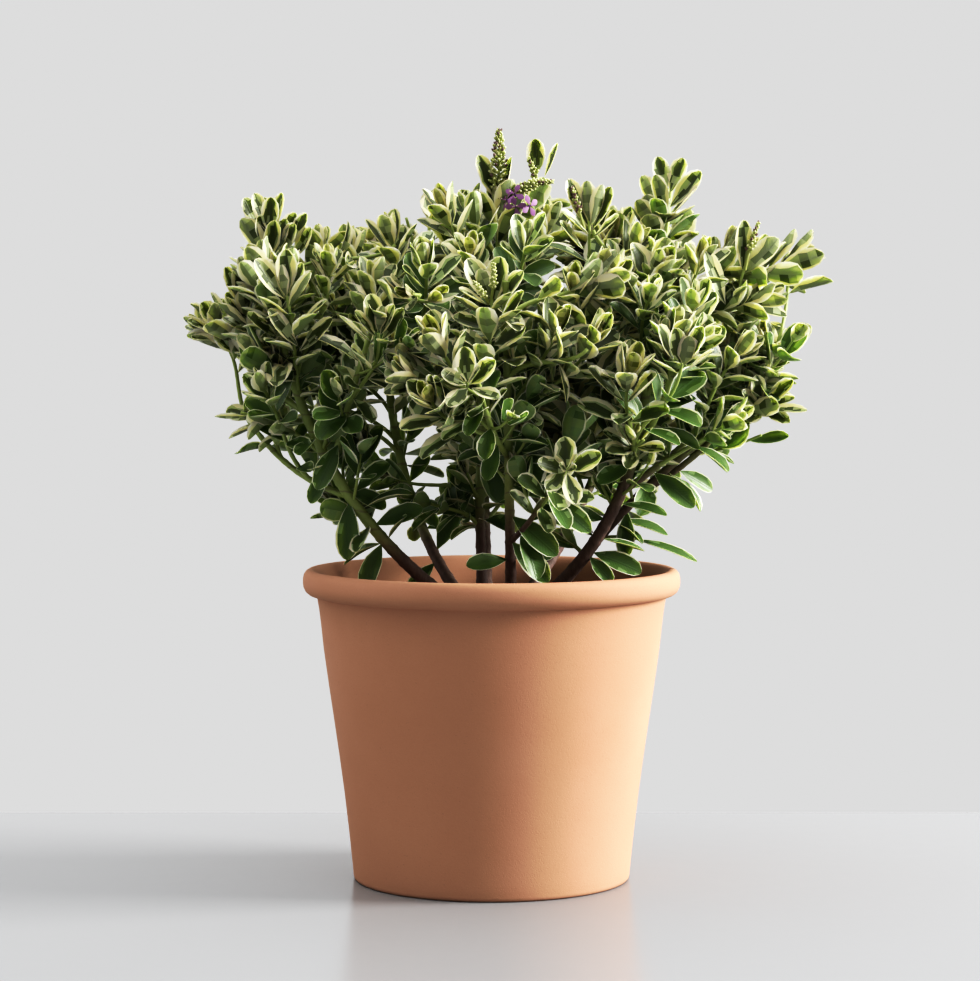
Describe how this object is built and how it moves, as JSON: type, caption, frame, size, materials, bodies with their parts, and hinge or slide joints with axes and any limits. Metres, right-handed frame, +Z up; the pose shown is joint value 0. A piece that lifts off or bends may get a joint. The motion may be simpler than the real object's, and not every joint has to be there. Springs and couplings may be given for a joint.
{
  "type": "potted hebe shrub",
  "caption": "Evergreen variegated hebe shrub with a flower spike, growing in a round terracotta pot with a rolled rim; stands on the flat underside of the pot.",
  "frame": {"origin": "centre of the pot's flat underside, on the surface it stands on", "axes": "+Z up along the pot's axis, +X to the viewer's right, +Y away from the viewer"},
  "size_m": [0.4062, 0.353, 0.477],
  "materials": {
    "terracotta": "matte unglazed terracotta",
    "potting_soil": "dark, crumbly, peaty",
    "old_bark": "matte brown bark with leaf scars",
    "green_bark": "smooth green young bark",
    "variegated_leaves": "satin leathery leaves, green with cream margins",
    "flower_buds": "matte green buds"
  },
  "bodies": {
    "root": {"pot": "terracotta", "root_ball": "potting_soil", "stem_back": "old_bark", "stem_back_right": "old_bark", "stem_centre": "old_bark", "stem_left": "old_bark", "stem_left_back": "old_bark", "stem_middle": "old_bark", "stem_right": "old_bark", "stem_right_low": "old_bark", "bough_centre_front": "green_bark", "bough_centre_low": "green_bark", "bough_left_middle": "green_bark", "bough_left_outer": "green_bark", "bough_left_tip": "green_bark", "bough_left_top": "green_bark", "bough_right_low": "green_bark", "bough_right_middle": "green_bark", "bough_right_outer": "green_bark", "bough_right_peak": "green_bark", "crown_back_high": "variegated_leaves", "crown_back_left": "variegated_leaves", "crown_back_left_high": "variegated_leaves", "crown_back_left_low": "variegated_leaves", "crown_back_middle": "variegated_leaves", "crown_back_right": "variegated_leaves", "crown_back_right_high": "variegated_leaves", "crown_back_right_low": "variegated_leaves", "crown_back_under": "variegated_leaves", "crown_centre_front": "variegated_leaves", "crown_centre_high": "variegated_leaves", "crown_centre_left": "variegated_leaves", "crown_centre_low": "variegated_leaves", "crown_centre_right": "variegated_leaves", "crown_core_left": "variegated_leaves", "crown_core_right": "variegated_leaves", "crown_left_crest": "variegated_leaves", "crown_left_high": "variegated_leaves", "crown_left_inner": "variegated_leaves", "crown_left_low": "variegated_leaves", "crown_left_middle": "variegated_leaves", "crown_left_outer": "variegated_leaves", "crown_left_tip": "variegated_leaves", "crown_left_top": "variegated_leaves", "crown_left_under": "variegated_leaves", "crown_right_crest": "variegated_leaves", "crown_right_far": "variegated_leaves", "crown_right_front": "variegated_leaves", "crown_right_inner": "variegated_leaves", "crown_right_low": "variegated_leaves", "crown_right_middle": "variegated_leaves", "crown_right_outer": "variegated_leaves", "crown_right_peak": "variegated_leaves", "crown_right_tip": "variegated_leaves", "crown_right_under": "variegated_leaves", "crown_top_back": "variegated_leaves", "crown_top_centre": "variegated_leaves", "crown_top_left": "variegated_leaves", "crown_top_right": "variegated_leaves", "flower_spike": "flower_buds"}
  },
  "joints": []
}
